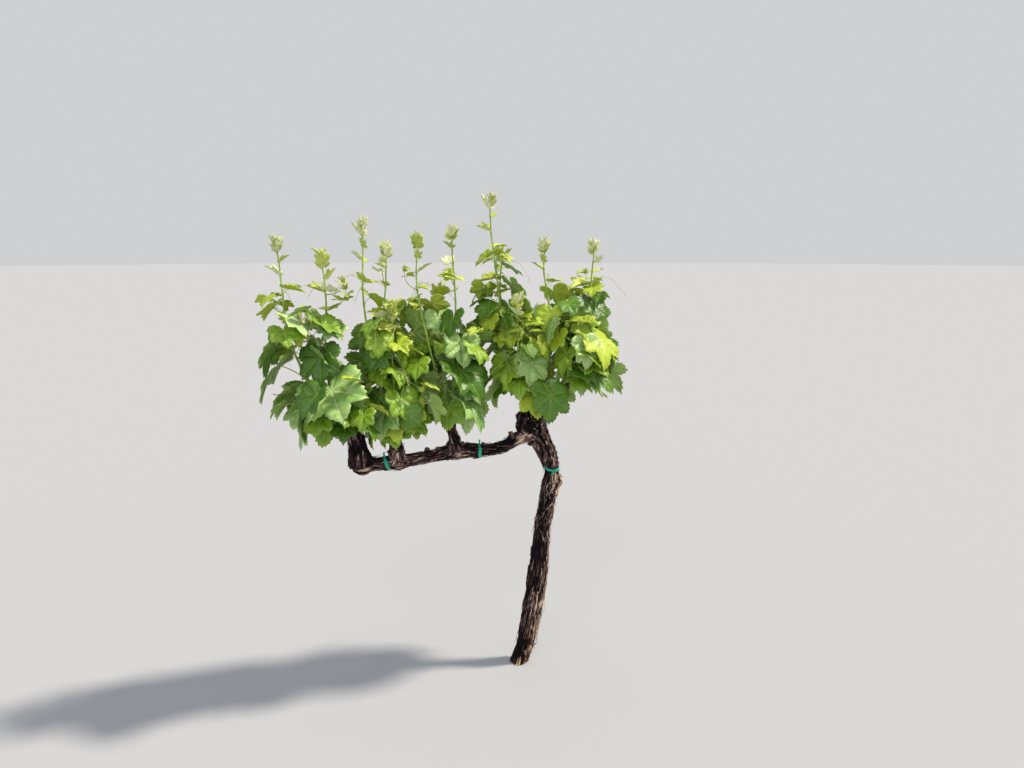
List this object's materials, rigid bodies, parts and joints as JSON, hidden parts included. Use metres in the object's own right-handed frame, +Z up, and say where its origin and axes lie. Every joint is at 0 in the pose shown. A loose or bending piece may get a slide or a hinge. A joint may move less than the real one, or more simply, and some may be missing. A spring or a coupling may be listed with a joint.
{
  "type": "grapevine",
  "caption": "Old cordon-trained grapevine in spring leaf: leaning trunk, knobbly head, one arm along the row, short spurs and upright leafy green shoots.",
  "frame": {"origin": "centre of the flat cut under the trunk, at ground level", "axes": "+Z up along the trunk and the shoots, X along the row with the long arm towards -X, Y across the row"},
  "size_m": [1.2507, 0.4185, 1.6419],
  "materials": {
    "bark": "rough shreddy old bark",
    "foliage": "thin soft green leaves on green shoots",
    "tie": "smooth green stretch tie"
  },
  "bodies": {
    "root": {"trunk": "bark", "cordon": "bark", "arm_right": "bark", "spur_head": "bark", "spur_near": "bark", "spur_mid": "bark", "spur_end": "bark", "shoots_end": "foliage", "shoots_mid": "foliage", "shoots_near": "foliage", "shoots_head": "foliage", "shoots_arm": "foliage", "tie_trunk": "tie", "tie_cordon_near": "tie", "tie_cordon_far": "tie"}
  },
  "joints": []
}
